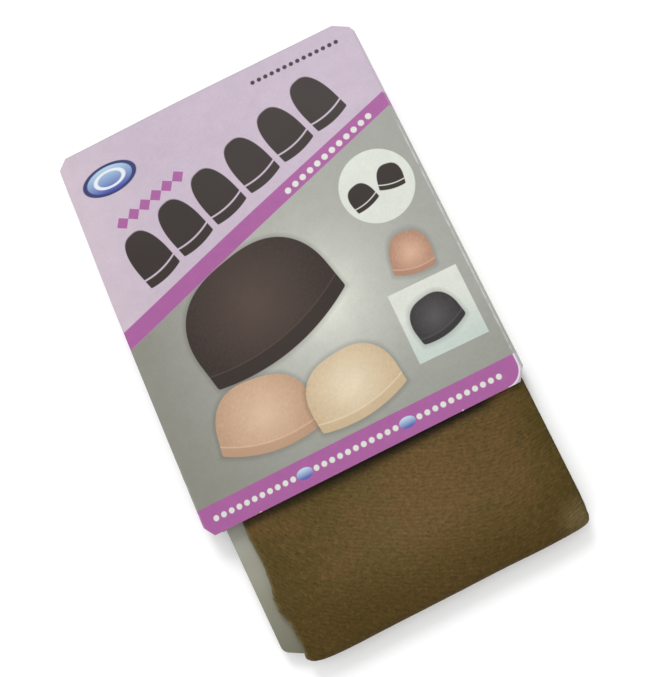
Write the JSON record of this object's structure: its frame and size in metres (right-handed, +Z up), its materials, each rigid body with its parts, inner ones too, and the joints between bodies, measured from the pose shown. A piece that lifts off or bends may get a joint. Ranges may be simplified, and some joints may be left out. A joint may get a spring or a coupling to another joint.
{
  "type": "wig cap in a card sleeve",
  "caption": "Flattened knitted nylon wig cap, folded over a stiff insert card and half slid out of a flat printed card sleeve.",
  "frame": {"origin": "under the middle of the pack's bounding box, on the surface that it lies on", "axes": "+Z up, out of the sleeve's front panel; +Y along the pack, from the cap's fold to the sleeve's far end; +X to the right, seen from above with the fold nearest"},
  "size_m": [0.11, 0.18, 0.01],
  "materials": {
    "nylon_knit": "fine matt nylon knit, slightly sheer",
    "insert_board": "smooth uncoated",
    "printed_board": "printed, satin varnish"
  },
  "bodies": {
    "root": {"wig_cap": "nylon_knit", "insert_card": "insert_board", "card_sleeve": "printed_board"}
  },
  "joints": []
}
